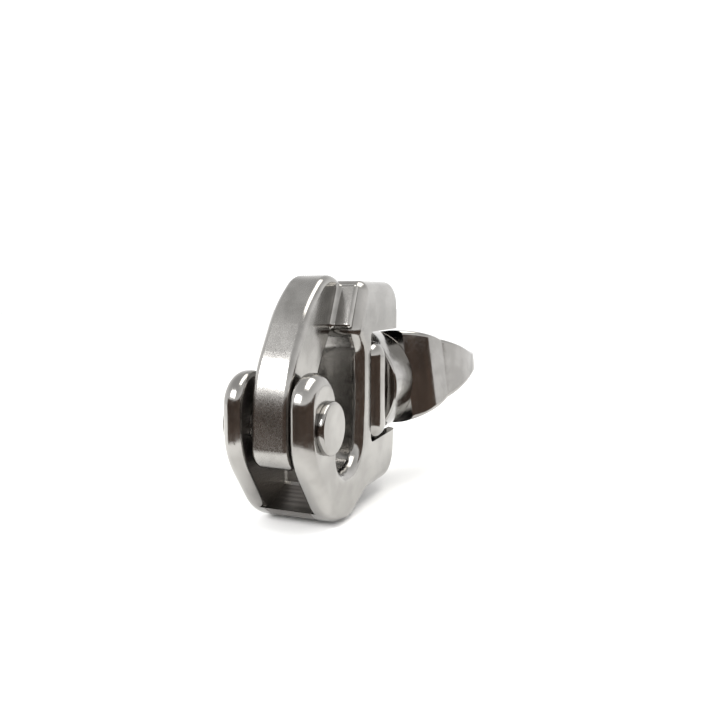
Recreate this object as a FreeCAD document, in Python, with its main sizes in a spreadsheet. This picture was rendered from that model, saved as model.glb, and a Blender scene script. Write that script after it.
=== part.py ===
"""Trigger-release snap shackle with a ball-bearing swivel bail, as a parametric FreeCAD document.

Frame: the origin lies on the swivel axis, in the middle of the ring opening.  +X runs along the
swivel axis from the shackle's nose to its bail, +Z is up in the plane of the ring, and Y is the
gate pin's direction.  The shackle is symmetric about the XZ plane, apart from the bail, which is
turned about X.  Lengths are millimetres and angles are degrees.
"""
import FreeCAD, Part
import math
import os

import Sketcher

DIMENSIONS = {
    # shackle body: outline in the XZ plane
    "body_thickness": 18.0,
    "edge_round": 2.3,
    "slot_edge_round": 1.3,
    "top_height": 22.6,
    "underside": -23.8,
    "heel_height": -20.2,
    "back_reach": 28.2,
    "ring_back": 6.7,
    "ring_bottom": -13.6,
    # fork and gate pin
    "pin_reach": -9.4,
    "pin_height": -3.7,
    "fork_reach": -16.9,
    "fork_top": 6.2,
    "fork_back": -4.6,
    "fork_round": 6.15,
    "chin_height": -9.0,
    "chin_round": 14.0,
    "keel_reach": -7.4,
    "keel_rise": 1.6,
    "keel_round": 12.0,
    "keel_end": 1.0,
    "keel_end_round": 7.0,
    "heel_reach": 9.5,
    "heel_step": 3.0,
    "heel_round": 6.0,
    "top_back_round": 5.4,
    "ring_round": 5.4,
    "slot_width": 9.6,
    "slot_radius": 16.4,
    "pin_diameter": 5.0,
    "pin_head_diameter": 9.8,
    "pin_head_height": 1.3,
    "pin_head_bevel": 0.4,
    "running_clearance": 0.05,
    "washer_thickness": 0.7,
    "washer_diameter": 8.4,
    # gate
    "gate_thickness": 7.8,
    "gate_round": 1.3,
    "gate_root_reach": -15.2,
    "gate_crown": 23.6,
    "gate_foot": -11.6,
    "gate_foot_round": 4.2,
    "gate_back_round": 24.0,
    "gate_crown_round": 8.0,
    "gate_tip_round": 1.35,
    "lug_width": 15.8,
    "lug_depth": 1.65,
    "tip_radius": 31.6,
    "tip_angle": 33.8,
    "heel_radius": 22.0,
    "heel_angle": 38.2,
    "lug_round": 0.6,
    "lug_blend": 1.0,
    "tip_gap": 0.35,
    "tongue_thickness": 4.4,
    "tongue_inner": 25.9,
    "tongue_outer": 29.7,
    "tongue_end_angle": 48.0,
    "step_depth": 1.2,
    # trigger in the head
    "trigger_slot_width": 5.0,
    "trigger_reach": 18.0,
    "trigger_travel": 4.8,
    "trigger_height": 17.3,
    "trigger_pin_diameter": 2.5,
    "spring_reach": 22.6,
    "spring_diameter": 2.6,
    "spring_wire": 0.45,
    "spring_turns": 4.0,
    # swivel, measured along X from the wall of the notch
    "notch_wall": 11.0,
    "notch_top": 12.3,
    "notch_floor": -10.5,
    "block_half_width": 10.6,
    "block_half_height": 10.2,
    "block_thickness": 6.8,
    "block_round": 3.2,
    "stud_diameter": 7.0,
    "stud_root": 6.2,
    "seal_thickness": 0.6,
    "drum_radius": 11.9,
    "drum_length": 11.4,
    "bushing_wall": 1.0,
    "race_radius": 8.2,
    "race_thickness": 1.4,
    "ball_diameter": 3.0,
    "ball_count": 12,
    "ball_circle": 6.0,
    "nut_thickness": 3.0,
    "lock_pin_diameter": 1.5,
    # bail
    "bail_turn": 8.0,
    "shoulder": 10.6,
    "eye_centre": 50.5,
    "eye_radius": 15.6,
    "bail_radius": 20.6,
    "crown_height": 5.4,
    "bail_edge_round": 1.3,
    "bail_bulge": 1.3,
}

os.makedirs("parts", exist_ok=True)
doc = FreeCAD.newDocument("snap_shackle")


def fill_sheet():
    """Put every driving dimension in one spreadsheet, each under its own alias."""
    sheet = doc.addObject("Spreadsheet::Sheet", "dims")
    for row, (alias, value) in enumerate(DIMENSIONS.items(), start=1):
        sheet.set("A%d" % row, alias.replace("_", " "))
        sheet.set("B%d" % row, repr(value))
        sheet.setAlias("B%d" % row, alias)
    doc.recompute()
    return sheet


SHEET = fill_sheet()
vec = FreeCAD.Vector
ALONG_X = FreeCAD.Rotation(vec(0, 1, 0), 90)
ALONG_Y = FreeCAD.Rotation(vec(1, 0, 0), -90)


def dim(alias):
    """A driving dimension, read back from the spreadsheet."""
    return float(getattr(SHEET, alias))


def bind(item, **expressions):
    """Bind properties of a document object to expressions over the spreadsheet."""
    for prop, expression in expressions.items():
        item.setExpression(prop, expression)


def rounded_wire(corners, plane):
    """A closed wire of straight sides with each corner (a, b, radius) replaced by a tangent arc."""
    points = [plane(a, b) for a, b, _ in corners]
    edges = []
    ends = []
    for number, (_, _, radius) in enumerate(corners):
        here = points[number]
        to_last = (points[number - 1] - here).normalize()
        to_next = (points[(number + 1) % len(points)] - here).normalize()
        half = to_last.getAngle(to_next) / 2
        setback = radius / math.tan(half)
        start = here + to_last * setback
        finish = here + to_next * setback
        if radius > 0:
            middle_way = (to_last + to_next).normalize()
            middle = here + middle_way * (radius / math.sin(half) - radius)
            edges.append(Part.Arc(start, middle, finish).toShape())
        ends.append((start, finish))
    sides = []
    for number, (_, finish) in enumerate(ends):
        start_of_next, following = ends[(number + 1) % len(ends)][0], points[(number + 1) % len(ends)]
        if (start_of_next - finish).dot(following - points[number]) < -1e-6:
            raise ValueError("the rounded corners after corner %d overlap" % number)
        if finish.distanceToPoint(start_of_next) > 1e-6:
            sides.append(Part.makeLine(finish, start_of_next))
    return Part.Wire(Part.__sortEdges__(edges + sides))


def upright(x, z):
    """A point of the XZ plane."""
    return vec(x, 0, z)


def slab(corners, width):
    """An outline of the XZ plane made into a plate centred on that plane."""
    face = Part.Face(rounded_wire(corners, upright))
    face.translate(vec(0, -width / 2, 0))
    return face.extrude(vec(0, width, 0))


def round_bar(radius, length, base, direction):
    """A solid cylinder."""
    return Part.makeCylinder(radius, length, base, direction)


def across(x, z, diameter, width):
    """A cylinder along Y, centred on the XZ plane."""
    return round_bar(diameter / 2, width, vec(x, -width / 2, z), vec(0, 1, 0))


def about_pin(radius, angle):
    """The point at a radius from the gate pin and an angle from vertical towards the bail."""
    turn = math.radians(angle)
    return dim("pin_reach") + radius * math.sin(turn), dim("pin_height") + radius * math.cos(turn)


def side_edges(shape, half_width, keep=lambda box: True):
    """The edges of a plate that lie in its two flat side faces."""
    found = []
    for edge in shape.Edges:
        box = edge.BoundBox
        flat = abs(box.YMax - box.YMin) < 1e-4
        if flat and abs(abs(box.YMax) - half_width) < 1e-4 and keep(box):
            found.append(edge)
    return found


def feature(label, shape, placement=None):
    """A finished shape as a document object of its own."""
    item = doc.addObject("Part::Feature", label)
    item.Label = label
    item.Shape = shape
    if placement is not None:
        item.Placement = placement
    return item


def make_shackle_body():
    """The C-shaped frame: fork, ring, head with its trigger slot, and the notch for the swivel."""
    width = dim("body_thickness")
    back = dim("back_reach")
    top = dim("top_height")
    fork = dim("fork_reach")
    fork_top = dim("fork_top")
    fork_back = dim("fork_back")
    ring_back = dim("ring_back")
    bottom = dim("ring_bottom")
    interface_top = about_pin(dim("tip_radius"), dim("tip_angle"))
    interface_low = about_pin(dim("heel_radius"), dim("heel_angle"))
    outline = [
        (fork, fork_top, dim("fork_round")),
        (fork, dim("chin_height"), dim("chin_round")),
        (dim("keel_reach"), dim("underside") + dim("keel_rise"), dim("keel_round")),
        (dim("keel_end"), dim("underside"), dim("keel_end_round")),
        (dim("heel_reach"), dim("heel_height"), dim("heel_round")),
        (back - dim("heel_step"), dim("heel_height"), dim("heel_round")),
        (back, 0.0, 4.0),
        (back, top, dim("top_back_round")),
        (interface_top[0], top, 2.4),
        (interface_low[0], interface_low[1] - 1.2, 2.3),
        (ring_back, interface_low[1] - 4.6, 4.0),
        (ring_back, -1.0, 6.0),
        (ring_back - 1.3, bottom, dim("ring_round")),
        (fork_back, bottom, 3.6),
        (fork_back, fork_top, dim("fork_round")),
    ]
    body = slab(outline, width)
    outer = side_edges(body, width / 2)
    body = body.makeFillet(dim("edge_round"), outer)
    wall = dim("notch_wall")
    notch = [
        (wall, dim("notch_top"), 1.2),
        (wall, dim("notch_floor"), 1.2),
        (back + 5.0, dim("notch_floor") + 0.6, 0.0),
        (back + 5.0, dim("notch_top"), 0.0),
    ]
    body = body.cut(slab(notch, width + 2))
    well_start = swivel_stations()["drum"] - 0.4
    well = round_bar(dim("drum_radius") + 0.35, 60, vec(well_start, 0, 0), vec(1, 0, 0))
    body = body.cut(well)
    slot = round_bar(dim("slot_radius"), dim("slot_width"),
                     vec(dim("pin_reach"), -dim("slot_width") / 2, dim("pin_height")), vec(0, 1, 0))
    # The slot's cutter stops on the plane x = 0, and stays below the gate's opening.
    size = 3 * back
    limit = Part.makeBox(size, size, size, vec(-size, -size / 2, dim("pin_height") + 12 - size))
    body = round_slot_edges(body.cut(slot.common(limit)))
    body = body.cut(across(dim("pin_reach"), dim("pin_height"),
                           dim("pin_diameter") + 2 * dim("running_clearance"), width + 2))
    return body.cut(head_cavity()).cut(stud_hole())


def round_slot_edges(body):
    """Round the fork's ears along the slot, so that each ear has a full round front."""
    half = dim("slot_width") / 2
    edges = []
    for edge in body.Edges:
        box = edge.BoundBox
        if box.YLength > 1e-3 or abs(abs(box.YMax) - half) > 1e-3:
            continue
        radius = edge.Curve.Radius if edge.Curve.TypeId == "Part::GeomCircle" else 0.0
        on_ear = box.XMax < dim("fork_back") - 3.4 and box.ZMin > dim("underside") + 5.8
        if on_ear and abs(radius - dim("slot_radius")) > 1e-3:
            edges.append(edge)
    return body.makeFillet(dim("slot_edge_round"), edges)


def head_cavity():
    """The slot in the head, open at the top and front, with the spring's pocket and the pin hole."""
    slot = dim("trigger_slot_width")
    floor = dim("notch_top") + 1.5
    cavity = [
        (2.0, 12.6, 0.0),
        (9.0, 12.6, 0.0),
        (12.4, floor, 0.0),
        (25.2, floor, 1.2),
        (25.2, 30.0, 0.0),
        (2.0, 30.0, 0.0),
    ]
    pin = across(dim("trigger_reach"), dim("trigger_height"), dim("trigger_pin_diameter"), 30)
    return slab(cavity, slot).fuse(pin)


def stud_hole():
    """The threaded hole for the stud, drawn at its root diameter, through the wall of the notch."""
    depth = dim("notch_wall") - dim("ring_back") - 1.0
    start = vec(dim("notch_wall") - depth, 0, 0)
    return round_bar(dim("stud_root") / 2, depth + 1.0, start, vec(1, 0, 0))


def make_gate():
    """The curved jaw: an arc-backed arm on the gate pin, its lugs, and the tongue for the trigger."""
    root = dim("gate_root_reach")
    crown = dim("gate_crown")
    foot = dim("gate_foot")
    thick = dim("gate_thickness")
    tip_top = about_pin(dim("tip_radius"), dim("tip_angle"))
    tip_low = about_pin(dim("heel_radius"), dim("heel_angle"))
    gap = dim("tip_gap")
    outline = [
        (root, foot, dim("gate_foot_round")),
        (root, 4.0, dim("gate_back_round")),
        (-6.2, 18.2, dim("gate_back_round")),
        (2.2, crown + 1.2, dim("gate_crown_round")),
        (tip_top[0] - gap, tip_top[1] - 0.1, dim("gate_tip_round")),
        (tip_low[0] - gap, tip_low[1], dim("gate_tip_round")),
        (-2.6, 4.4, 12.0),
        (-4.4, -4.0, 6.0),
        (-5.6, foot, 5.0),
    ]
    arm = slab(outline, thick)
    arm = arm.makeFillet(dim("gate_round"), side_edges(arm, thick / 2))
    gate = blend_lugs(arm.fuse(gate_bar(tip_top, tip_low)).removeSplitter())
    gate = gate.fuse(gate_tongue())
    bore = across(dim("pin_reach"), dim("pin_height"),
                  dim("pin_diameter") + 2 * dim("running_clearance"), thick + 2)
    return gate.cut(bore).removeSplitter()


def gate_bar(tip_top, tip_low):
    """The hammer head: one bar across the tip, rounded along its sides, against the two cheeks."""
    gap = dim("tip_gap")
    depth = dim("lug_depth")
    rounding = dim("lug_round")
    corner = rounding + 0.05
    outline = [
        (tip_top[0] - gap, tip_top[1] - 0.6, corner),
        (tip_low[0] - gap, tip_low[1] - 0.3, corner),
        (tip_low[0] - gap - depth, tip_low[1] - 0.1, corner),
        (tip_top[0] - gap - depth, tip_top[1] - 0.8, corner),
    ]
    bar = slab(outline, dim("lug_width"))
    return bar.makeFillet(rounding, side_edges(bar, dim("lug_width") / 2))


def blend_lugs(gate):
    """Hollow out the inner corners where the lugs' fronts meet the arm's two sides."""
    side = dim("gate_thickness") / 2
    low = dim("pin_height") + dim("heel_radius") * 0.7
    corners = []
    for edge in gate.Edges:
        box = edge.BoundBox
        straight = box.YLength < 1e-3 and abs(abs(box.YMax) - side) < 1e-3
        if straight and box.ZMin > low and 4.0 < edge.Length < 10.0 and box.XLength > 1.0:
            if edge.Curve.TypeId == "Part::GeomLine":
                corners.append(edge)
    return gate.makeFillet(dim("lug_blend"), corners)


def gate_tongue():
    """The tongue that enters the head, an arc about the gate pin with a step for the trigger."""
    thick = dim("tongue_thickness")
    inner = dim("tongue_inner")
    outer = dim("tongue_outer")
    end = dim("tongue_end_angle")
    centre = vec(dim("pin_reach"), -thick / 2, dim("pin_height"))
    ring = round_bar(outer, thick, centre, vec(0, 1, 0)).cut(round_bar(inner, thick, centre, vec(0, 1, 0)))
    step = round_bar(outer, thick, centre, vec(0, 1, 0)).cut(
        round_bar(outer - dim("step_depth"), thick, centre, vec(0, 1, 0)))
    tongue = ring.common(sector(30.0, end, thick))
    return tongue.cut(step.common(sector(end - 9.5, end - 3.5, thick)))


def sector(start, end, width):
    """A wedge about the gate pin between two angles from vertical."""
    corners = [(dim("pin_reach"), dim("pin_height"), 0.0)]
    for angle in (start, (start + end) / 2, end):
        corners.append(about_pin(60.0, angle) + (0.0,))
    return slab(corners, width)


def make_trigger():
    """The latch lever: a nose for the tongue's step, an eye on its pin, and a tail for the fid.

    It is laid out latched, then turned by its travel, so that it stands pressed and clear.
    """
    pivot_x = dim("trigger_reach")
    pivot_z = dim("trigger_height")
    thick = dim("tongue_thickness")
    nose = about_pin(dim("tongue_outer") - 0.4, dim("tongue_end_angle") - 6.0)
    arm = [
        (nose[0] - 0.8, nose[1] + 0.7, 0.3),
        (nose[0] + 0.8, nose[1] - 0.6, 0.3),
        (nose[0] + 2.2, nose[1] + 0.3, 0.3),
        (pivot_x, pivot_z - 1.6, 0.0),
        (24.2, pivot_z - 0.2, 0.6),
        (24.2, pivot_z + 2.2, 0.8),
        (pivot_x, pivot_z + 2.6, 2.0),
        (nose[0] - 0.8, nose[1] + 3.2, 1.0),
    ]
    lever = slab(arm, thick).fuse(across(pivot_x, pivot_z, 5.0, thick))
    lever.rotate(vec(pivot_x, 0, pivot_z), vec(0, 1, 0), dim("trigger_travel"))
    hole = dim("trigger_pin_diameter") + 2 * dim("running_clearance")
    return lever.cut(across(pivot_x, pivot_z, hole, thick + 2)).removeSplitter()


def make_trigger_spring():
    """The compression spring under the trigger's tail, a round wire wound on a helix."""
    floor = dim("notch_top") + 1.5
    wire = dim("spring_wire")
    radius = (dim("spring_diameter") - wire) / 2
    tail_drop = (dim("spring_reach") - dim("trigger_reach")) * math.sin(math.radians(dim("trigger_travel")))
    height = dim("trigger_height") - 0.75 - tail_drop - floor - wire - 0.1
    helix = Part.makeHelix(height / dim("spring_turns"), height, radius)
    start = vec(radius, 0, 0)
    section = Part.Wire(Part.makeCircle(wire / 2, start, vec(0, 1, 0)))
    coil = Part.Wire(helix).makePipeShell([section], True, True)
    coil.translate(vec(dim("spring_reach"), 0, floor + wire / 2 + 0.05))
    return coil


def revolved_body(label, profile, parameters):
    """A PartDesign body turned about an origin axis from a closed polygon of bound points."""
    body = doc.addObject("PartDesign::Body", label)
    body.Label = label
    sketch = body.newObject("Sketcher::SketchObject", label + "_profile")
    plane = [f for f in body.Origin.OriginFeatures if f.Role == "XY_Plane"][0]
    sketch.AttachmentSupport = [(plane, "")]
    sketch.MapMode = "FlatFace"
    count = len(profile)
    for number, (a, b) in enumerate(profile):
        c, d = profile[(number + 1) % count]
        sketch.addGeometry(Part.LineSegment(vec(a, b, 0), vec(c, d, 0)), False)
    for number in range(count):
        sketch.addConstraint(Sketcher.Constraint("Coincident", number, 2, (number + 1) % count, 1))
    for number, (along, away) in enumerate(parameters):
        for kind, expression, value in (("DistanceX", along, profile[number][0]),
                                        ("DistanceY", away, profile[number][1])):
            index = sketch.addConstraint(Sketcher.Constraint(kind, -1, 1, number, 1, value))
            sketch.setExpression("Constraints[%d]" % index, expression)
    doc.recompute()
    revolution = body.newObject("PartDesign::Revolution", label + "_turned")
    revolution.Profile = sketch
    revolution.ReferenceAxis = (sketch, ["H_Axis"])
    revolution.Angle = 360
    body.Tip = revolution
    return body


def cells(text):
    """An expression over the sheet: each alias in the text gets the sheet's name in front."""
    words = sorted(DIMENSIONS, key=len, reverse=True)
    for number, word in enumerate(words):
        text = text.replace(word, "<%d>" % number)
    for number, word in enumerate(words):
        text = text.replace("<%d>" % number, "dims." + word)
    return text


def value_of(text):
    """The number that an expression over the sheet comes to."""
    total = 0.0
    for term in text.replace(" ", "").replace("-", "+-").split("+"):
        if not term:
            continue
        sign = -1.0 if term.startswith("-") else 1.0
        part = 1.0
        for number, factor in enumerate(term.lstrip("-").split("/")):
            size = dim(factor) if factor in DIMENSIONS else float(factor)
            part = size if number == 0 else part / size
        total += sign * part
    return total


def turned(label, points, placement=None):
    """A turned piece: points are (along the axis, away from it), written over the sheet's names."""
    numbers = [(value_of(along), value_of(away)) for along, away in points]
    bound = [(cells(along), cells(away)) for along, away in points]
    body = revolved_body(label, numbers, bound)
    if placement is not None:
        body.Placement = placement
    return body


def make_gate_pin():
    """The gate pin with its button head on the near side, and the cap pressed on its far end."""
    start = FreeCAD.Placement(vec(dim("pin_reach"), -dim("body_thickness") / 2, dim("pin_height")),
                              FreeCAD.Rotation(vec(0, 0, 1), 90))
    pin = turned("gate_pin", [
        ("0 - pin_head_height", "0"),
        ("0 - pin_head_height", "pin_head_diameter/2 - pin_head_bevel"),
        ("pin_head_bevel - pin_head_height", "pin_head_diameter/2"),
        ("0", "pin_head_diameter/2"),
        ("0", "pin_diameter/2"),
        ("body_thickness + pin_head_height/2", "pin_diameter/2"),
        ("body_thickness + pin_head_height/2", "0"),
    ], start)
    cap = turned("gate_pin_cap", [
        ("body_thickness", "pin_diameter/2"),
        ("body_thickness", "pin_head_diameter/2"),
        ("body_thickness + pin_head_height - pin_head_bevel", "pin_head_diameter/2"),
        ("body_thickness + pin_head_height", "pin_head_diameter/2 - pin_head_bevel"),
        ("body_thickness + pin_head_height", "0"),
        ("body_thickness + pin_head_height/2", "0"),
        ("body_thickness + pin_head_height/2", "pin_diameter/2"),
    ], start)
    return [pin, cap]


def make_trigger_pin():
    """The dowel that the trigger turns on, its ends polished flush with the body's sides."""
    pin = doc.addObject("Part::Cylinder", "trigger_pin")
    pin.Label = "trigger_pin"
    bind(pin, Radius="dims.trigger_pin_diameter / 2", Height="dims.body_thickness")
    pin.Placement = FreeCAD.Placement(
        vec(dim("trigger_reach"), -dim("body_thickness") / 2, dim("trigger_height")), ALONG_Y)
    return pin


def make_gate_washers():
    """The two thin washers that centre the gate in the fork, one on each side."""
    rings = []
    bore = dim("pin_diameter") / 2 + dim("running_clearance")
    thick = dim("washer_thickness")
    centre = vec(dim("pin_reach"), 0, dim("pin_height"))
    offset = (dim("gate_thickness") + dim("slot_width")) / 4
    for side in (-1, 1):
        base = centre + vec(0, side * offset - thick / 2, 0)
        disc = round_bar(dim("washer_diameter") / 2, thick, base, vec(0, 1, 0))
        rings.append(disc.cut(round_bar(bore, thick, base, vec(0, 1, 0))))
    return Part.makeCompound(rings)


def swivel_stations():
    """Places along X of the swivel's faces: seal, drum, race, balls and nut."""
    seal = dim("notch_wall") + dim("block_thickness")
    drum = seal + dim("seal_thickness")
    nut_end = dim("eye_centre") - dim("eye_radius") - 0.4
    nut = nut_end - dim("nut_thickness")
    balls = nut - dim("ball_diameter") - dim("running_clearance")
    race = balls - dim("race_thickness")
    return {"seal": seal, "drum": drum, "race": race, "balls": balls, "nut": nut, "end": nut_end}


def make_swivel_stud():
    """The stud: threaded root in the body, a square block keyed by the notch, and the shank."""
    place = swivel_stations()
    wall = dim("notch_wall")
    shank = round_bar(dim("stud_diameter") / 2, place["end"] - wall, vec(wall, 0, 0), vec(1, 0, 0))
    root_length = wall - dim("ring_back") - 1.0
    root = round_bar(dim("stud_root") / 2, root_length, vec(wall - root_length, 0, 0), vec(1, 0, 0))
    half_width = dim("block_half_width")
    half_height = dim("block_half_height")
    block = Part.makeBox(dim("block_thickness"), 2 * half_width, 2 * half_height,
                         vec(wall, -half_width, -half_height))
    block = block.makeFillet(dim("block_round"), block.Edges)
    stud = block.fuse(shank).fuse(root)
    return stud.cut(lock_pin_bar()).removeSplitter()


def lock_pin_bar():
    """The cross pin's cylinder, through the nut and the end of the stud."""
    place = swivel_stations()
    middle = (place["nut"] + place["end"]) / 2
    length = 2 * dim("race_radius") - 0.8
    return across(middle, 0, dim("lock_pin_diameter"), length)


def make_front_seal():
    """The plastic washer between the stud's flange and the drum of the bail."""
    outer = doc.addObject("Part::Cylinder", "seal_disc")
    inner = doc.addObject("Part::Cylinder", "seal_bore")
    bind(outer, Radius="dims.block_half_width - dims.block_round", Height="dims.seal_thickness - 0.1")
    bind(inner, Radius="dims.stud_diameter / 2 + dims.running_clearance", Height="dims.seal_thickness")
    ring = doc.addObject("Part::Cut", "front_seal")
    ring.Base = outer
    ring.Tool = inner
    ring.Label = "front_seal"
    ring.Placement = FreeCAD.Placement(vec(swivel_stations()["seal"] + 0.05, 0, 0), ALONG_X)
    return ring


def make_bushing():
    """The plain sleeve in the bail's bore, running on the stud."""
    place = swivel_stations()
    outer = doc.addObject("Part::Cylinder", "sleeve_outer")
    inner = doc.addObject("Part::Cylinder", "sleeve_inner")
    bind(outer, Radius="dims.stud_diameter / 2 + dims.bushing_wall")
    bind(inner, Radius="dims.stud_diameter / 2 + dims.running_clearance")
    outer.Height = place["race"] - place["drum"]
    inner.Height = place["race"] - place["drum"]
    sleeve = doc.addObject("Part::Cut", "bail_bushing")
    sleeve.Base = outer
    sleeve.Tool = inner
    sleeve.Label = "bail_bushing"
    sleeve.Placement = FreeCAD.Placement(vec(place["drum"], 0, 0), ALONG_X)
    return sleeve


def make_race():
    """The hardened ring at the bottom of the bail's counterbore, with the groove for the balls."""
    place = swivel_stations()
    start = vec(place["race"], 0, 0)
    ring = round_bar(dim("race_radius"), dim("race_thickness"), start, vec(1, 0, 0))
    ring = ring.cut(round_bar(dim("stud_diameter") / 2 + 0.3, dim("race_thickness"), start, vec(1, 0, 0)))
    return ring.cut(ball_groove(place["balls"] + dim("ball_diameter") / 2 - 0.3))


def ball_groove(middle):
    """The torus that the balls sweep, a little larger than them."""
    return Part.makeTorus(dim("ball_circle"), dim("ball_diameter") / 2 + dim("running_clearance"),
                          vec(middle, 0, 0), vec(1, 0, 0))


def make_balls():
    """The full ring of bearing balls between the race and the nut."""
    place = swivel_stations()
    count = round(dim("ball_count"))
    middle = place["balls"] + dim("ball_diameter") / 2 - 0.3
    balls = []
    for number in range(count):
        turn = 2 * math.pi * number / count
        away = dim("ball_circle")
        centre = vec(middle, away * math.cos(turn), away * math.sin(turn))
        balls.append(Part.makeSphere(dim("ball_diameter") / 2, centre))
    return Part.makeCompound(balls)


def make_nut():
    """The round nut on the stud's end: the balls' second groove, two spanner holes, the pin hole."""
    place = swivel_stations()
    start = vec(place["nut"] - 0.3, 0, 0)
    length = dim("nut_thickness") + 0.3
    nut = round_bar(dim("race_radius"), length, start, vec(1, 0, 0))
    last = [edge for edge in nut.Edges if edge.Closed and edge.BoundBox.XMin > start.x + 1.0]
    nut = nut.makeFillet(0.6, last)
    nut = nut.cut(round_bar(dim("stud_diameter") / 2, length, start, vec(1, 0, 0)))
    nut = nut.cut(ball_groove(place["balls"] + dim("ball_diameter") / 2 - 0.3))
    for side in (-1, 1):
        nut = nut.cut(round_bar(0.9, 1.4, vec(place["end"] - 1.4, 0, side * 5.9), vec(1, 0, 0)))
    return nut.cut(lock_pin_bar())


def make_bail():
    """The bail: a drum in the notch, and a tapering loop that starts as tall as the drum."""
    place = swivel_stations()
    eye = dim("eye_centre")
    radius = dim("bail_radius")
    drum_radius = dim("drum_radius")
    drum_end = place["drum"] + dim("drum_length")
    shoulder = dim("shoulder")
    reach = math.hypot(eye - drum_end, shoulder)
    flare = math.asin(radius / reach) - math.atan2(shoulder, eye - drum_end)
    tangent = math.sqrt(reach ** 2 - radius ** 2)
    touch = vec(drum_end + tangent * math.cos(flare), shoulder + tangent * math.sin(flare), 0)
    mirror = vec(touch.x, -touch.y, 0)
    halfway = vec((drum_end + touch.x) / 2 - dim("bail_bulge") * math.sin(flare),
                  (shoulder + touch.y) / 2 + dim("bail_bulge") * math.cos(flare), 0)
    plan = Part.Wire([
        Part.Arc(touch, vec(eye + radius, 0, 0), mirror).toShape(),
        Part.Arc(mirror, vec(halfway.x, -halfway.y, 0), vec(drum_end, -shoulder, 0)).toShape(),
        Part.makeLine(vec(drum_end, -shoulder, 0), vec(drum_end, shoulder, 0)),
        Part.Arc(vec(drum_end, shoulder, 0), halfway, touch).toShape(),
    ])
    tall = 2 * drum_radius
    plan_face = Part.Face(plan)
    plan_face.translate(vec(0, 0, -tall / 2))
    loop = plan_face.extrude(vec(0, 0, tall))
    loop = loop.cut(Part.makeCylinder(dim("eye_radius"), tall, vec(eye, 0, -tall / 2)))
    crown = dim("crown_height") / 2
    side = [
        (drum_end, shoulder, 0.0),
        (eye + 0.5, crown, 14.0),
        (eye + radius + 2, crown, 0.0),
        (eye + radius + 2, -crown, 0.0),
        (eye + 0.5, -crown, 14.0),
        (drum_end, -shoulder, 0.0),
    ]
    loop = loop.common(slab(side, 2 * radius + 4))
    loop = soften(loop, dim("bail_edge_round"), drum_end + 0.2)
    drum = round_bar(drum_radius, dim("drum_length"), vec(place["drum"], 0, 0), vec(1, 0, 0))
    rims = [edge for edge in drum.Edges if edge.Closed]
    drum = drum.makeFillet(0.5, rims)
    bail = drum.fuse(loop)
    bore = dim("stud_diameter") / 2 + dim("bushing_wall")
    bail = bail.cut(round_bar(bore, 60, vec(0, 0, 0), vec(1, 0, 0)).common(
        Part.makeBox(place["end"] + 2, 40, 40, vec(0, -20, -20))))
    well = round_bar(dim("race_radius") + 0.15, eye - place["race"], vec(place["race"], 0, 0), vec(1, 0, 0))
    return bail.cut(well).removeSplitter()


def soften(loop, radius, from_x):
    """Round the long edges of the loop behind the drum, by the largest radius that holds."""
    edges = [edge for edge in loop.Edges if edge.BoundBox.XMax > from_x + 2.0 and edge.Length > 3.0]
    for share in (1.0, 0.7, 0.5, 0.3):
        try:
            rounded = loop.makeFillet(radius * share, edges)
        except Part.OCCError:
            continue
        if rounded.isValid() and rounded.Volume > 0.5 * loop.Volume:
            return rounded
    return loop


def build():
    """Make every piece and return them in the order they are listed."""
    turned_bail = FreeCAD.Placement(vec(0, 0, 0), FreeCAD.Rotation(vec(1, 0, 0), -dim("bail_turn")))
    pieces = [
        feature("shackle_body", make_shackle_body()),
        feature("gate", make_gate()),
        feature("gate_washers", make_gate_washers()),
        feature("trigger", make_trigger()),
        feature("trigger_spring", make_trigger_spring()),
        make_trigger_pin(),
        feature("swivel_stud", make_swivel_stud()),
        make_front_seal(),
        feature("swivel_bail", make_bail(), turned_bail),
        make_bushing(),
        feature("bearing_race", make_race()),
        feature("bearing_balls", make_balls(), turned_bail),
        feature("swivel_nut", make_nut()),
        feature("nut_lock_pin", lock_pin_bar()),
    ]
    return pieces + make_gate_pin()


def check_document(pieces):
    """Stop if any object failed to recompute or any piece has no valid solid."""
    for item in doc.Objects:
        if "Invalid" in item.State or "Error" in item.State:
            raise RuntimeError("%s failed: %s" % (item.Name, item.State))
    for piece in pieces:
        shape = piece.Shape
        if shape.isNull() or not shape.isValid() or not shape.Solids:
            raise RuntimeError("%s has no valid solid" % piece.Label)


def write_pieces(pieces):
    """Write each piece's shape to its own STEP file and print its size."""
    for piece in pieces:
        shape = piece.Shape
        box = shape.BoundBox
        print("%-16s %2d solids %9.1f mm3  X %6.1f %6.1f  Y %6.1f %6.1f  Z %6.1f %6.1f" % (
            piece.Label, len(shape.Solids), shape.Volume,
            box.XMin, box.XMax, box.YMin, box.YMax, box.ZMin, box.ZMax))
        shape.exportStep("parts/%s.step" % piece.Label)


PIECES = build()
doc.recompute()
check_document(PIECES)
write_pieces(PIECES)
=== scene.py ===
import math

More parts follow.
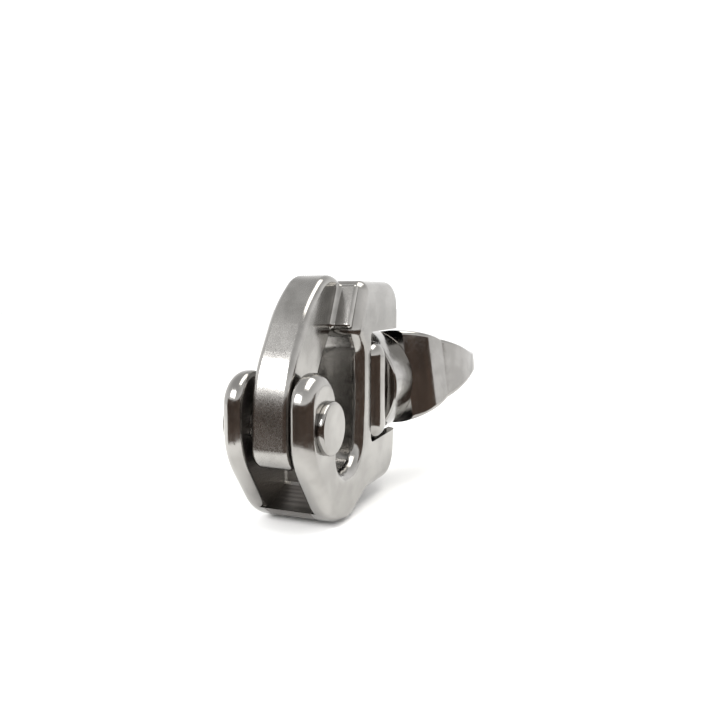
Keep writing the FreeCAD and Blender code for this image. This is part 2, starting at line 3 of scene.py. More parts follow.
import bmesh
import bpy
import numpy as np
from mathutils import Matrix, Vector


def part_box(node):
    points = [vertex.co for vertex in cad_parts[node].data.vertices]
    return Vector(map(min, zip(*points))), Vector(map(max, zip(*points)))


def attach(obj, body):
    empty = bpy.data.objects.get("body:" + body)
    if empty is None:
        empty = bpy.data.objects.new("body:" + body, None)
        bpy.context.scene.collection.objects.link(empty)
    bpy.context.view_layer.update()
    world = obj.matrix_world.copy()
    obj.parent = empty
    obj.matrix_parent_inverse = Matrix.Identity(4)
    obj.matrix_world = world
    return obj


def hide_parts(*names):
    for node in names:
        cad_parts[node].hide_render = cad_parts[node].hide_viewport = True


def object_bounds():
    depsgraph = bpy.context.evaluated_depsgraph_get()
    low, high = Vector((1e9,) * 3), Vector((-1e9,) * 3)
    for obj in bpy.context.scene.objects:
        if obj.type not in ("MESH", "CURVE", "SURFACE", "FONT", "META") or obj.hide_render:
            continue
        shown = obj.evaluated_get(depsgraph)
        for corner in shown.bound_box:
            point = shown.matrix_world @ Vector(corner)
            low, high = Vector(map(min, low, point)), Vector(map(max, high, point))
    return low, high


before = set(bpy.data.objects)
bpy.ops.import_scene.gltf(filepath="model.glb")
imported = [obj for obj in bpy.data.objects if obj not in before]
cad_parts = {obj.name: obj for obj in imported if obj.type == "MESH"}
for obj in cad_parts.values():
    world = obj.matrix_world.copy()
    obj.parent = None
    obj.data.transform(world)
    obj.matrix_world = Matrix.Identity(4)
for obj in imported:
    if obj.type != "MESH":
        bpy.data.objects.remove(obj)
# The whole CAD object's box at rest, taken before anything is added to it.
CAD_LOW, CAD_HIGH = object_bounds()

bl_info = {
    "name": "Swivel snap shackle",
    "version": (1, 0, 0),
    "blender": (4, 5, 0),
    "location": "View3D > Sidebar > Shackle",
    "description": "Finishes a swivel snap shackle's CAD frame and adds its turned and wound parts",
    "category": "Object",
}

MM = 0.001

# The pin's heads: the share of the radius where the crown starts to fall, the share of the thickness
# that it falls by, and the small roundings where a head meets the fork and where the shank ends.
CROWN_START = 0.55
CROWN_FALL = 0.07
SEAT_ROUND = 0.1 * MM
SHANK_ROUND = 0.15 * MM

# The seal: how far its bore lies inside the bushing, and its lip's rounding as a share of its width.
SEAL_INSET = 0.9 * MM
LIP_SHARE = 0.45

# The soft boxes: where they stand and how wide and high they are, in metres.
KEY_PLACE = (-0.40, 0.17, 0.28)
KEY_SIZE = (0.30, 0.18)
TOP_PLACE = (0.05, -0.12, 0.55)
TOP_SIZE = (0.5, 0.35)

# The floor is a disc of this radius in metres.
FLOOR_REACH = 1.5
FLOOR_RINGS = 9
FLOOR_SIDES = 64

# The flag runs between two angles in degrees. Each of its lines has a reach from the swivel's upright
# and a height over the floor; the top line's height is counted from the swivel's axis instead.
FLAG_START = 128.0
FLAG_END = 296.0
FLAG_STEPS = 49
FLAG_LINES = ((0.056, 0.0005), (0.09, 0.004), (0.105, 0.02))
FLAG_TOP = (0.11, 0.026)

SENSOR_WIDTH_MM = 36.0
NEAR_CLIP = 5 * MM


# ---------------------------------------------------------------- colours and nodes

def from_hex(code):
    """A linear RGBA colour from an sRGB hex code, by the sRGB transfer curve."""
    channels = []
    for start in (1, 3, 5):
        value = int(code[start:start + 2], 16) / 255
        channels.append(value / 12.92 if value <= 0.04045 else ((value + 0.055) / 1.055) ** 2.4)
    return (*channels, 1.0)


def add(tree, kind, links=(), values=(), **settings):
    """Adds one node, with its settings, its socket values and the links that feed its inputs."""
    made = tree.nodes.new("ShaderNode" + kind)
    for attribute, value in settings.items():
        setattr(made, attribute, value)
    for socket, value in values:
        made.inputs[socket].default_value = value
    for socket, source in links:
        tree.links.new(source, made.inputs[socket])
    return made


def new_material(name):
    """An empty node material: its tree, its shader and the object's own coordinates."""
    material = bpy.data.materials.new(name)
    material.use_nodes = True
    tree = material.node_tree
    tree.nodes.clear()
    shader = add(tree, "BsdfPrincipled")
    add(tree, "OutputMaterial", links=[("Surface", shader.outputs["BSDF"])])
    place = add(tree, "TexCoord").outputs["Object"]
    return material, tree, shader, place


def per_mm(size_mm):
    """The texture scale that gives a pattern of that size, on coordinates in metres."""
    return 1 / (size_mm * MM)


def noise(tree, vector, size_mm, detail=3.0, roughness=0.5):
    """A noise value whose grain is about size_mm across."""
    made = add(tree, "TexNoise", links=[("Vector", vector)],
               values=[("Scale", per_mm(size_mm)), ("Detail", detail), ("Roughness", roughness)])
    return made.outputs["Fac"]


def spread(tree, value, low, high, to_low=0.0, to_high=1.0):
    """A value taken from one range to another, clamped at both ends with a smooth step."""
    made = add(tree, "MapRange", links=[("Value", value)], interpolation_type="SMOOTHSTEP",
               values=[("From Min", low), ("From Max", high), ("To Min", to_low), ("To Max", to_high)])
    return made.outputs["Result"]


def two_tones(tree, factor, first, second):
    """A colour between two others."""
    made = add(tree, "Mix", data_type="RGBA", links=[("Factor", factor)],
               values=[("A", first), ("B", second)])
    return made.outputs["Result"]


def drifting(tree, cloud, light, dark, low=0.35, high=0.65):
    """Two close tones, as sRGB hex codes, that drift into each other with a slow noise."""
    return two_tones(tree, spread(tree, cloud, low, high), from_hex(light), from_hex(dark))


def raised(tree, height, depth_mm, under=None):
    """A bump of that depth from a height of 0 to 1, on top of another bump if one is given."""
    links = [("Height", height)]
    if under is not None:
        links.append(("Normal", under))
    made = add(tree, "Bump", links=links, values=[("Strength", 1.0), ("Distance", depth_mm * MM)])
    return made.outputs["Normal"]


def stretched(tree, vector, scale, turn=(0.0, 0.0, 0.0)):
    """Coordinates turned, then drawn out, so that a noise on them becomes lines."""
    made = add(tree, "Mapping", links=[("Vector", vector)],
               values=[("Rotation", turn), ("Scale", scale)])
    return made.outputs["Vector"]


def bands(tree, vector, axis, pitch_mm, distortion, detail):
    """Even bands across an axis. The wave node draws 20 / (2 pi) of them per unit of its scale."""
    made = add(tree, "TexWave", links=[("Vector", vector)], bands_direction=axis,
               values=[("Scale", per_mm(pitch_mm) / 20 * 2 * math.pi), ("Distortion", distortion),
                       ("Detail", detail)])
    return made.outputs["Fac"]


def off_middle(tree, parts):
    """The distance from the object's middle plane, from separated coordinates."""
    made = add(tree, "Math", operation="ABSOLUTE", links=[(0, parts.outputs["Y"])])
    return made.outputs["Value"]


def times(tree, first, second):
    """The product of two values."""
    return add(tree, "Math", operation="MULTIPLY", links=[(0, first), (1, second)]).outputs["Value"]


def put_on(tree, shader, colour, rough, normal=None, metallic=1.0):
    """Feeds the shader a colour, a roughness and, where one is given, a normal."""
    tree.links.new(colour, shader.inputs["Base Color"])
    tree.links.new(rough, shader.inputs["Roughness"])
    if normal is not None:
        tree.links.new(normal, shader.inputs["Normal"])
    shader.inputs["Metallic"].default_value = metallic


# ---------------------------------------------------------------- materials

def buffed_stainless(name, settings, haze=1.0, turn=(0.0, 0.0, 0.0)):
    """Cast 316 stainless, tumbled and buffed on a mop.

    It gives bright reflections that waver a little where the casting was not quite flat, a faint
    haze that comes and goes, and hairlines from handling.
    """
    material, tree, shader, place = new_material(name)
    cloud = noise(tree, place, 5.0, detail=2.0)
    haze_map = noise(tree, place, 0.9, detail=4.0, roughness=0.62)
    hairline = noise(tree, stretched(tree, place, (1.0, 14.0, 0.9), turn), 1.6, detail=3.0)
    colour = drifting(tree, cloud, settings.buffed_light, settings.buffed_dark)
    rough = spread(tree, haze_map, 0.35, 0.7,
                   settings.buffed_roughness * haze, settings.buffed_roughness * haze * 1.7)
    wave = raised(tree, noise(tree, place, 4.5, detail=1.0), settings.casting_wave)
    put_on(tree, shader, colour, rough, raised(tree, hairline, 0.0006, under=wave))
    return material


def linished_gate(settings, half_flat):
    """The gate's stainless: the broad outer face is linished on a fine belt along the arc.

    The belt leaves a fine speckle of short grains down the middle of the face, and the rounded
    edges, which the mop reached, are bright.
    """
    material, tree, shader, place = new_material("linished_stainless")
    parts = add(tree, "SeparateXYZ", links=[("Vector", place)])
    middle = spread(tree, off_middle(tree, parts), half_flat * 0.82, half_flat, 1.0, 0.0)
    # A 240 grit belt leaves grains of about 0.06 mm; they are drawn at 0.32 mm so that they show.
    grain = noise(tree, stretched(tree, place, (1.0, 1.9, 1.0)), 0.32, detail=4.0, roughness=0.7)
    cloud = noise(tree, place, 4.0, detail=2.0)
    colour = drifting(tree, cloud, settings.satin_light, settings.satin_dark)
    dull = spread(tree, grain, 0.3, 0.7,
                  settings.satin_roughness * 0.8, settings.satin_roughness * 1.25)
    rough = add(tree, "Mix", data_type="FLOAT", links=[("Factor", middle), ("B", dull)],
                values=[("A", settings.buffed_roughness * 1.2)]).outputs["Result"]
    wave = raised(tree, noise(tree, place, 4.5, detail=1.0), settings.casting_wave)
    put_on(tree, shader, colour, rough, raised(tree, times(tree, grain, middle), 0.004, under=wave))
    return material


def body_stainless(settings, slot_half, slot_front, slot_foot):
    """The body's stainless: buffed outside, and left as milled inside the fork's slot.

    The cutter leaves fine level lines across the slot's end, and the mop could not reach in there, so the
    metal stays dull; its darker colour there is painted shade for the recess.
    """
    material = buffed_stainless("buffed_cast_stainless", settings)
    tree = material.node_tree
    shader = next(n for n in tree.nodes if n.type == "BSDF_PRINCIPLED")
    place = next(n for n in tree.nodes if n.type == "TEX_COORD").outputs["Object"]
    parts = add(tree, "SeparateXYZ", links=[("Vector", place)])
    across = spread(tree, off_middle(tree, parts), slot_half, slot_half * 1.02, 1.0, 0.0)
    ahead = spread(tree, parts.outputs["X"], slot_front, slot_front + 1.0 * MM, 1.0, 0.0)
    above = spread(tree, parts.outputs["Z"], slot_foot, slot_foot + 0.4 * MM)
    inside = times(tree, times(tree, across, ahead), above)
    # A finishing cutter steps down about 0.1 mm a turn; the lines are drawn at 0.45 mm to show.
    lines = bands(tree, place, "Z", 0.45, 0.6, 1.0)
    buffed_colour = shader.inputs["Base Color"].links[0].from_socket
    buffed_rough = shader.inputs["Roughness"].links[0].from_socket
    buffed_normal = shader.inputs["Normal"].links[0].from_socket
    # Inside the slot the colour turns darker: painted shade for the recess, together with the rougher
    # milled finish.
    colour = add(tree, "Mix", data_type="RGBA", links=[("Factor", inside), ("A", buffed_colour)],
                 values=[("B", from_hex(settings.milled_and_shaded_colour))]).outputs["Result"]
    rough = add(tree, "Mix", data_type="FLOAT", links=[("Factor", inside), ("A", buffed_rough)],
                values=[("B", 0.34)]).outputs["Result"]
    cut = raised(tree, times(tree, lines, inside), 0.02, under=buffed_normal)
    put_on(tree, shader, colour, rough, cut)
    return material


def turned_steel(name, settings, pitch_mm, roughness, axis):
    """Stainless as it comes off the lathe: fine bands across the given axis, with a soft sheen."""
    material, tree, shader, place = new_material(name)
    # The feed marks are really 0.05 to 0.1 mm apart; they are drawn wider so that they show.
    marks = bands(tree, place, axis, pitch_mm, 0.8, 2.0)
    cloud = noise(tree, place, 2.5)
    colour = drifting(tree, cloud, settings.satin_light, settings.satin_dark, 0.3, 0.7)
    rough = spread(tree, cloud, 0.3, 0.7, roughness * 0.8, roughness * 1.3)
    put_on(tree, shader, colour, rough, raised(tree, marks, 0.003))
    return material


def drawn_wire():
    """Spring wire, 302 stainless drawn through a die: grey, with long faint die lines."""
    material, tree, shader, place = new_material("drawn_spring_wire")
    streak = noise(tree, stretched(tree, place, (0.4, 0.4, 3.0)), 0.25, detail=2.0)
    colour = two_tones(tree, streak, from_hex("#9C9A97"), from_hex("#77757A"))
    put_on(tree, shader, colour, spread(tree, streak, 0.3, 0.7, 0.22, 0.4))
    return material


def lapped_steel():
    """Hardened bearing steel, ground and lapped: nearly a mirror, slightly blue, with a thin oil film."""
    material, tree, shader, place = new_material("lapped_bearing_steel")
    film = noise(tree, place, 1.2, detail=3.0)
    colour = two_tones(tree, film, from_hex("#D2D3D6"), from_hex("#B9BABF"))
    put_on(tree, shader, colour, spread(tree, film, 0.35, 0.7, 0.05, 0.13))
    shader.inputs["Coat Weight"].default_value = 0.15
    shader.inputs["Coat Roughness"].default_value = 0.2
    return material


def bearing_bronze():
    """Aluminium bronze, turned and then browned a little by salt air."""
    material, tree, shader, place = new_material("aluminium_bronze")
    bloom = noise(tree, place, 1.8, detail=4.0)
    colour = two_tones(tree, bloom, from_hex("#C79A5B"), from_hex("#8C6434"))
    put_on(tree, shader, colour, spread(tree, bloom, 0.3, 0.7, 0.24, 0.42),
           raised(tree, noise(tree, place, 0.2), 0.003))
    return material


def black_acetal():
    """Acetal, turned from black rod: a dull wax-like sheen with a very fine grain."""
    material, tree, shader, place = new_material("black_acetal")
    cloud = noise(tree, place, 1.0, detail=3.0)
    colour = two_tones(tree, cloud, from_hex("#1B1A1A"), from_hex("#0E0D0E"))
    put_on(tree, shader, colour, spread(tree, cloud, 0.3, 0.7, 0.38, 0.55),
           raised(tree, noise(tree, place, 0.15), 0.004), metallic=0.0)
    shader.inputs["IOR"].default_value = 1.48
    return material


def matt_paper(settings):
    """The floor: matt white backdrop paper with a very slight mottle."""
    material, tree, shader, place = new_material("white_backdrop_paper")
    mottle = noise(tree, place, 60.0, detail=2.0)
    colour = two_tones(tree, mottle, from_hex(settings.paper_light), from_hex(settings.paper_dark))
    tree.links.new(colour, shader.inputs["Base Color"])
    shader.inputs["Roughness"].default_value = 0.9
    shader.inputs["Specular IOR Level"].default_value = 0.1
    return material


# ---------------------------------------------------------------- surfaces

def put_mesh(name, points, faces):
    """A mesh object at the origin from arrays of points and faces.

    Points that share a place are merged, and the normals are turned to one side.
    """
    mesh = bpy.data.meshes.new(name)
    mesh.from_pydata(points.tolist(), [], faces.tolist())
    work = bmesh.new()
    work.from_mesh(mesh)
    bmesh.ops.remove_doubles(work, verts=work.verts, dist=1e-7)
    bmesh.ops.recalc_face_normals(work, faces=work.faces)
    work.to_mesh(mesh)
    work.free()
    mesh.polygons.foreach_set("use_smooth", np.ones(len(mesh.polygons), dtype=bool))
    made = bpy.data.objects.new(name, mesh)
    bpy.context.scene.collection.objects.link(made)
    return made


def grid_faces(rows, columns, wrap_rows=False, wrap_columns=True):
    """The four-cornered faces between neighbouring points of a grid, joined round where it wraps."""
    row = np.arange(rows if wrap_rows else rows - 1)
    column = np.arange(columns if wrap_columns else columns - 1)
    i, j = np.meshgrid(row, column, indexing="ij")
    near, far = (i + 1) % rows, (j + 1) % columns
    corners = (i * columns + j, near * columns + j, near * columns + far, i * columns + far)
    return np.stack([c.ravel() for c in corners], axis=1)


def rounded_profile(corners, steps=7):
    """A line of straight runs whose corners (a, b, radius) become arcs of that radius.

    Each arc starts and ends radius / tan(half the corner's angle) from its corner, and its points
    are spread evenly in angle about its centre.
    """
    line = []
    for number, (a, b, radius) in enumerate(corners):
        corner = np.array([a, b])
        if radius == 0.0:
            line.append(corner)
            continue
        before = np.array(corners[number - 1][:2]) - corner
        after = np.array(corners[(number + 1) % len(corners)][:2]) - corner
        before = before / np.linalg.norm(before)
        after = after / np.linalg.norm(after)
        half = math.acos(float(np.clip(before @ after, -1, 1))) / 2
        middle = (before + after) / np.linalg.norm(before + after)
        centre = corner + middle * radius / math.sin(half)
        share = np.linspace(-1, 1, steps) * (math.pi / 2 - half)
        cross = after - (after @ middle) * middle
        cross = cross / np.linalg.norm(cross)
        points = centre - radius * (np.cos(share)[:, None] * middle - np.sin(share)[:, None] * cross)
        line.extend(points)
    return np.array(line)


def turned_surface(name, profile, centre, axis, segments=96, closed=False):
    """A turned piece: each profile point (along, away) runs round the axis.

    Its place is centre + along * axis + away * (cos t * u + sin t * v), for t from 0 to a full turn,
    where u and v are square to the axis and to each other.
    """
    axis = np.array(axis, float)
    u = np.cross(axis, [0.0, 0.0, 1.0])
    if np.linalg.norm(u) < 1e-6:
        u = np.cross(axis, [0.0, 1.0, 0.0])
    u = u / np.linalg.norm(u)
    v = np.cross(axis, u)
    turn = np.linspace(0, 2 * math.pi, segments, endpoint=False)
    ring = np.cos(turn)[:, None] * u + np.sin(turn)[:, None] * v
    points = (np.array(centre, float) + profile[:, 0, None, None] * axis
              + profile[:, 1, None, None] * ring[None])
    faces = grid_faces(len(profile), segments, wrap_rows=closed)
    return put_mesh(name, points.reshape(-1, 3), faces)


def coil_surface(name, foot, radius, wire, height, turns, sides=14, steps_a_turn=40):
    """A compression spring: a round wire carried along a helix whose end coils lie closer.

    The share t runs from 0 to 1 over all the turns. The rise is t with 0.55 sin(2 pi t) / (2 pi) taken
    off, so it is slowest at the ends. The wire's section is a circle in the plane of the outward
    direction and the upright.
    """
    steps = int(turns * steps_a_turn) + 1
    t = np.linspace(0, 1, steps)
    rise = (height - wire) * (t - np.sin(2 * math.pi * t) / (2 * math.pi) * 0.55)
    turn = 2 * math.pi * turns * t
    outward = np.stack([np.cos(turn), np.sin(turn), np.zeros(steps)], axis=1)
    centre = np.array(foot, float) + outward * radius
    centre[:, 2] += rise + wire / 2
    around = np.linspace(0, 2 * math.pi, sides, endpoint=False)
    # The end sections shrink to a point, which closes the tube.
    size = np.full(steps, wire / 2)
    size[[0, -1]] = 1e-9
    section = (np.cos(around)[None, :, None] * outward[:, None]
               + np.sin(around)[None, :, None] * np.array([0.0, 0.0, 1.0]))
    points = centre[:, None] + size[:, None, None] * section
    return put_mesh(name, points.reshape(-1, 3), grid_faces(steps, sides))


# ---------------------------------------------------------------- settings

def node_size(name):
    """A CAD node's extent along X, Y and Z."""
    low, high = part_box(name)
    return high - low


PIN_LOW, PIN_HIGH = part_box("gate_pin")
CAP_LOW, CAP_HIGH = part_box("gate_pin_cap")
BODY_LOW, BODY_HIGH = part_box("shackle_body")


class MetalFinish(bpy.types.PropertyGroup):
    """Colours and roughness of the steels."""
    buffed_light: bpy.props.StringProperty(
        name="Buffed, light", description="Lighter tone of the buffed stainless, sRGB hex",
        default="#9E9C99")
    buffed_dark: bpy.props.StringProperty(
        name="Buffed, dark", description="Darker tone of the buffed stainless, sRGB hex",
        default="#918F8C")
    satin_light: bpy.props.StringProperty(
        name="Satin, light", description="Lighter tone of the linished stainless, sRGB hex",
        default="#A09E9B")
    satin_dark: bpy.props.StringProperty(
        name="Satin, dark", description="Darker tone of the linished stainless, sRGB hex",
        default="#92908D")
    # The slot's darker tone is painted shade for the recess as well as the tone of the unpolished milled
    # metal.
    milled_and_shaded_colour: bpy.props.StringProperty(
        name="Milled slot", description="Colour of the unpolished metal in the fork's slot, sRGB hex",
        default="#6E6A66")
    buffed_roughness: bpy.props.FloatProperty(
        name="Buffed roughness", description="Roughness where the mop has polished", default=0.13,
        min=0.0, max=1.0, subtype="FACTOR")
    satin_roughness: bpy.props.FloatProperty(
        name="Satin roughness", description="Roughness of the gate's linished face", default=0.24,
        min=0.0, max=1.0, subtype="FACTOR")
    casting_wave: bpy.props.FloatProperty(
        name="Casting wave", description="Depth of the slow waviness left by casting, in millimetres",
        default=0.03, min=0.0, max=0.2)


class PinSizes(bpy.types.PropertyGroup):
    """Sizes of the gate pin and its cap."""
    head_thickness: bpy.props.FloatProperty(
        name="Head thickness", description="How far the head stands off the fork",
        default=BODY_LOW.y - PIN_LOW.y, unit="LENGTH")
    head_radius: bpy.props.FloatProperty(
        name="Head radius", description="Radius of the pin's head",
        default=(PIN_HIGH.x - PIN_LOW.x) / 2, unit="LENGTH")
    shank_radius: bpy.props.FloatProperty(
        name="Shank radius", description="Radius of the pin's shank", default=2.5 * MM, unit="LENGTH")
    rim_round: bpy.props.FloatProperty(
        name="Rim round", description="Radius of the rounding on the head's rim", default=0.55 * MM,
        unit="LENGTH")


class SpringSizes(bpy.types.PropertyGroup):
    """Sizes of the trigger's spring."""
    wire: bpy.props.FloatProperty(
        name="Wire", description="Diameter of the spring's wire", default=0.45 * MM, unit="LENGTH")
    turns: bpy.props.FloatProperty(
        name="Turns", description="Number of turns, from end to end", default=4.5, min=2.0)


class StudioSettings(bpy.types.PropertyGroup):
    """The camera, the lights and the floor."""
    camera_place: bpy.props.FloatVectorProperty(
        name="Camera place", description="Where the lens stands", default=(-0.1204, -0.0610, 0.0207),
        subtype="TRANSLATION", unit="LENGTH")
    camera_heading: bpy.props.FloatProperty(
        name="Camera heading", description="Direction of view, turned from +X towards +Y",
        default=math.radians(22.5), subtype="ANGLE", unit="ROTATION")
    camera_dip: bpy.props.FloatProperty(
        name="Camera dip", description="How far the camera looks down", default=math.radians(5.7),
        subtype="ANGLE", unit="ROTATION")
    lens: bpy.props.FloatProperty(
        name="Lens", description="Focal length on a 36 mm wide sensor", default=35.0, unit="CAMERA")
    key_power: bpy.props.FloatProperty(
        name="Key light", description="Power of the soft box in front", default=2.0, unit="POWER")
    top_power: bpy.props.FloatProperty(
        name="Top light", description="Power of the soft box overhead", default=2.4, unit="POWER")
    room_strength: bpy.props.FloatProperty(
        name="Room", description="Brightness of the pale room", default=1.45, min=0.0)
    paper_light: bpy.props.StringProperty(
        name="Paper, light", description="Lighter tone of the floor, sRGB hex", default="#FFFFFF")
    paper_dark: bpy.props.StringProperty(
        name="Paper, dark", description="Darker tone of the floor, sRGB hex", default="#FCFCFB")


# ---------------------------------------------------------------- operators

def dress(name, material):
    """Gives a CAD node one material on all its faces."""
    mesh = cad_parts[name].data
    mesh.materials.clear()
    mesh.materials.append(material)


class SHACKLE_OT_body(bpy.types.Operator):
    """Finish the body: buffed outside, left as milled in the fork's slot, which is darkened with painted
    shade
    """
    bl_idname = "shackle.body"
    bl_label = "Body"

    def execute(self, context):
        finish = context.scene.shackle_finish
        slot_half = node_size("gate_washers").y / 2 + 0.12 * MM
        slot_front = -1.0 * MM
        slot_foot = BODY_LOW.z + 1.0 * MM
        dress("shackle_body", body_stainless(finish, slot_half, slot_front, slot_foot))
        return {"FINISHED"}


class SHACKLE_OT_gate(bpy.types.Operator):
    """Finish the gate: a linished outer face between bright edges"""
    bl_idname = "shackle.gate"
    bl_label = "Gate"

    def execute(self, context):
        finish = context.scene.shackle_finish
        half_flat = 3.2 * MM
        dress("gate", linished_gate(finish, half_flat))
        dress("gate_washers", turned_steel("washer_stainless", finish, 0.3, 0.25, "X"))
        return {"FINISHED"}


class SHACKLE_OT_pin(bpy.types.Operator):
    """Turn the gate pin and its cap, with domed and rounded heads"""
    bl_idname = "shackle.pin"
    bl_label = "Gate pin"

    def execute(self, context):
        sizes = context.scene.shackle_pin
        metal = buffed_stainless("buffed_pin_stainless", context.scene.shackle_finish, haze=0.8)
        middle_x = (PIN_LOW.x + PIN_HIGH.x) / 2
        middle_z = (PIN_LOW.z + PIN_HIGH.z) / 2
        crown = sizes.head_thickness
        seat = -BODY_LOW.y
        shank_end = PIN_HIGH.y
        head = rounded_profile([
            (-seat - crown, 0.0, 0.0),
            (-seat - crown, sizes.head_radius * CROWN_START, sizes.head_radius * 2),
            (-seat - crown * (1 - CROWN_FALL), sizes.head_radius, sizes.rim_round),
            (-seat, sizes.head_radius, SEAT_ROUND),
            (-seat, sizes.shank_radius, 0.0),
            (shank_end, sizes.shank_radius, SHANK_ROUND),
            (shank_end, 0.0, 0.0),
        ])
        pin = turned_surface("gate_pin_turned", head, (middle_x, 0.0, middle_z), (0.0, 1.0, 0.0))
        cap_seat = CAP_LOW.y
        cap_top = CAP_HIGH.y
        cap_line = rounded_profile([
            (cap_seat, sizes.shank_radius, 0.0),
            (cap_seat, sizes.head_radius, SEAT_ROUND),
            (cap_top - crown * CROWN_FALL, sizes.head_radius, sizes.rim_round),
            (cap_top, sizes.head_radius * CROWN_START, sizes.head_radius * 2),
            (cap_top, 0.0, 0.0),
            (shank_end, 0.0, 0.0),
            (shank_end, sizes.shank_radius, 0.0),
        ])
        cap = turned_surface("gate_pin_cap_turned", cap_line, (middle_x, 0.0, middle_z),
                             (0.0, 1.0, 0.0), closed=True)
        for piece, node in ((pin, "gate_pin"), (cap, "gate_pin_cap")):
            piece.data.materials.append(metal)
            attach(piece, "shackle")
            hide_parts(node)
        return {"FINISHED"}


class SHACKLE_OT_latch(bpy.types.Operator):
    """Finish the trigger and its pin, and wind its spring"""
    bl_idname = "shackle.latch"
    bl_label = "Latch"

    def execute(self, context):
        finish = context.scene.shackle_finish
        sizes = context.scene.shackle_spring
        dress("trigger", turned_steel("ground_trigger_stainless", finish, 0.35, 0.26, "Y"))
        dress("trigger_pin", buffed_stainless("dowel_stainless", finish))
        low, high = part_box("trigger_spring")
        foot = ((low.x + high.x) / 2, (low.y + high.y) / 2, low.z)
        radius = (high.x - low.x - sizes.wire) / 2
        spring = coil_surface("trigger_spring_wound", foot, radius, sizes.wire, high.z - low.z,
                              sizes.turns)
        spring.data.materials.append(drawn_wire())
        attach(spring, "shackle")
        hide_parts("trigger_spring")
        return {"FINISHED"}


class SHACKLE_OT_swivel(bpy.types.Operator):
    """Finish the stud, nut, lock pin and bearing, and turn the seal"""
    bl_idname = "shackle.swivel"
    bl_label = "Swivel"

    def execute(self, context):
        finish = context.scene.shackle_finish
        dress("swivel_stud", buffed_stainless("buffed_stud_stainless", finish, haze=0.9))
        dress("swivel_nut", turned_steel("turned_nut_stainless", finish, 0.3, 0.22, "X"))
        dress("nut_lock_pin", drawn_wire())
        lapped = lapped_steel()
        dress("bearing_balls", lapped)
        dress("bearing_race", lapped)
        dress("bail_bushing", bearing_bronze())
        low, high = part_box("front_seal")
        outer = (high.z - low.z) / 2
        inner = node_size("bail_bushing").z / 2 - SEAL_INSET
        lip = (high.x - low.x) * LIP_SHARE
        ring = rounded_profile([(low.x, inner, lip * 0.5), (low.x, outer, lip),
                                (high.x, outer, lip), (high.x, inner, lip * 0.5)])
        seal = turned_surface("front_seal_turned", ring, (0.0, 0.0, 0.0), (1.0, 0.0, 0.0), closed=True)
        seal.data.materials.append(black_acetal())
        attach(seal, "shackle")
        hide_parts("front_seal")
        return {"FINISHED"}


class SHACKLE_OT_bail(bpy.types.Operator):
    """Finish the bail, which is buffed all over"""
    bl_idname = "shackle.bail"
    bl_label = "Bail"

    def execute(self, context):
        dress("swivel_bail", buffed_stainless("buffed_bail_stainless", context.scene.shackle_finish,
                                              haze=0.75, turn=(0.0, 0.3, 0.0)))
        return {"FINISHED"}


def soft_box(name, place, size, target, power, colour):
    """A rectangular area light aimed at a point. It shows in reflections and not to the camera."""
    data = bpy.data.lights.new(name, "AREA")
    data.shape = "RECTANGLE"
    data.size, data.size_y = size
    data.energy = power
    data.color = from_hex(colour)[:3]
    lamp = bpy.data.objects.new(name, data)
    lamp.location = place
    lamp.rotation_euler = (Vector(target) - Vector(place)).to_track_quat("-Z", "Y").to_euler()
    lamp.visible_camera = False
    bpy.context.scene.collection.objects.link(lamp)


def pale_room(strength):
    """The room's light: pale walls under a slightly greyer ceiling, by the height of the direction."""
    world = bpy.data.worlds.new("pale_room")
    bpy.context.scene.world = world
    world.use_nodes = True
    tree = world.node_tree
    tree.nodes.clear()
    direction = add(tree, "TexCoord").outputs["Generated"]
    height = add(tree, "SeparateXYZ", links=[("Vector", direction)]).outputs["Z"]
    room = drifting(tree, height, "#FFFFFF", "#C4C4C4", 0.15, 0.9)
    light = add(tree, "Background", links=[("Color", room)], values=[("Strength", strength)])
    add(tree, "OutputWorld", links=[("Surface", light.outputs["Background"])])


def dark_flag(name, profile):
    """A dark brown card bent round the object. Only reflections show it.

    Its profile is a line of (reach, height) points, carried round the upright through the origin from
    the flag's first angle to its last, both counted from +X towards +Y.
    """
    material, tree, shader, place = new_material("brown_flag_felt")
    nap = noise(tree, place, 30.0, detail=3.0)
    colour = two_tones(tree, nap, from_hex("#5E4C40"), from_hex("#231B16"))
    tree.links.new(colour, shader.inputs["Base Color"])
    shader.inputs["Roughness"].default_value = 1.0
    turn = np.radians(np.linspace(FLAG_START, FLAG_END, FLAG_STEPS))
    reach, height = np.array(profile).T
    points = np.stack([np.outer(reach, np.cos(turn)), np.outer(reach, np.sin(turn)),
                       np.tile(height[:, None], (1, FLAG_STEPS))], axis=2)
    faces = grid_faces(len(profile), FLAG_STEPS, wrap_columns=False)
    card = put_mesh(name, points.reshape(-1, 3), faces)
    card.data.materials.append(material)
    card.visible_camera = False
    card.visible_diffuse = False
    card.visible_shadow = False


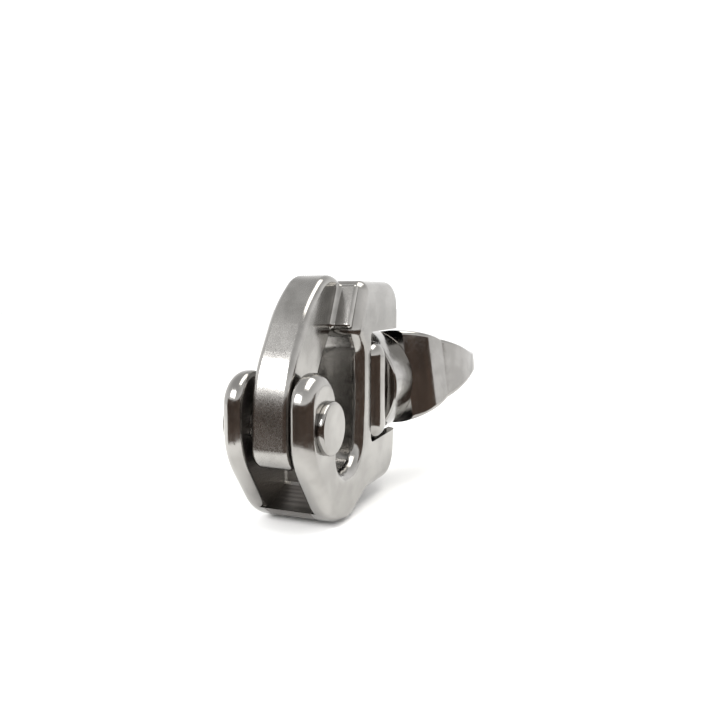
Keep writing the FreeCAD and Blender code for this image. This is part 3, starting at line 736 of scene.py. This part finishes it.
class SHACKLE_OT_stage(bpy.types.Operator):
    """Lay the floor, set the lights and place the camera"""
    bl_idname = "shackle.stage"
    bl_label = "Stage"

    def execute(self, context):
        scene = context.scene
        studio = scene.shackle_studio
        turn = np.linspace(0, 2 * math.pi, FLOOR_SIDES, endpoint=False)
        rings = np.linspace(0, FLOOR_REACH, FLOOR_RINGS)
        disc = np.stack([np.outer(rings, np.cos(turn)), np.outer(rings, np.sin(turn)),
                         np.full((FLOOR_RINGS, FLOOR_SIDES), CAD_LOW.z)], axis=2)
        floor = put_mesh("floor", disc.reshape(-1, 3), grid_faces(FLOOR_RINGS, FLOOR_SIDES))
        if floor.data.polygons[0].normal.z < 0:
            floor.data.flip_normals()
        floor.data.materials.append(matt_paper(studio))
        middle = (CAD_LOW + CAD_HIGH) / 2
        soft_box("key_soft_box", KEY_PLACE, KEY_SIZE, middle, studio.key_power, "#FFFFFF")
        soft_box("top_soft_box", TOP_PLACE, TOP_SIZE, middle, studio.top_power, "#FFFDF8")
        dark_flag("front_flag", [(reach, CAD_LOW.z + height) for reach, height in FLAG_LINES] + [FLAG_TOP])
        pale_room(studio.room_strength)
        lens = bpy.data.cameras.new("camera")
        lens.lens = studio.lens
        lens.sensor_width = SENSOR_WIDTH_MM
        lens.clip_start = NEAR_CLIP
        camera = bpy.data.objects.new("camera", lens)
        camera.location = studio.camera_place
        ahead = Vector((math.cos(studio.camera_heading) * math.cos(studio.camera_dip),
                        math.sin(studio.camera_heading) * math.cos(studio.camera_dip),
                        -math.sin(studio.camera_dip)))
        camera.rotation_euler = ahead.to_track_quat("-Z", "Y").to_euler()
        scene.collection.objects.link(camera)
        scene.camera = camera
        scene.view_settings.view_transform = "Standard"
        return {"FINISHED"}


STEPS = (SHACKLE_OT_body, SHACKLE_OT_gate, SHACKLE_OT_pin, SHACKLE_OT_latch, SHACKLE_OT_swivel,
         SHACKLE_OT_bail, SHACKLE_OT_stage)
GROUPS = {"shackle_finish": MetalFinish, "shackle_pin": PinSizes, "shackle_spring": SpringSizes,
          "shackle_studio": StudioSettings}


class SHACKLE_PT_panel(bpy.types.Panel):
    """The sidebar panel: every step in order, then the settings"""
    bl_label = "Swivel snap shackle"
    bl_idname = "SHACKLE_PT_panel"
    bl_space_type = "VIEW_3D"
    bl_region_type = "UI"
    bl_category = "Shackle"

    def draw(self, context):
        for step in STEPS:
            self.layout.operator(step.bl_idname)
        for group, kind in GROUPS.items():
            box = self.layout.box()
            for setting in kind.__annotations__:
                box.prop(getattr(context.scene, group), setting)


def register():
    """Registers every class and puts the settings on the scene."""
    for kind in (*GROUPS.values(), *STEPS, SHACKLE_PT_panel):
        bpy.utils.register_class(kind)
    for group, kind in GROUPS.items():
        setattr(bpy.types.Scene, group, bpy.props.PointerProperty(type=kind))


def unregister():
    """Takes the settings off the scene and unregisters every class."""
    for group in GROUPS:
        delattr(bpy.types.Scene, group)
    for kind in reversed((*GROUPS.values(), *STEPS, SHACKLE_PT_panel)):
        bpy.utils.unregister_class(kind)


def main():
    """Builds everything in order."""
    register()
    for step in STEPS:
        group, name = step.bl_idname.split(".")
        getattr(getattr(bpy.ops, group), name)()


if __name__ == "__main__":
    main()
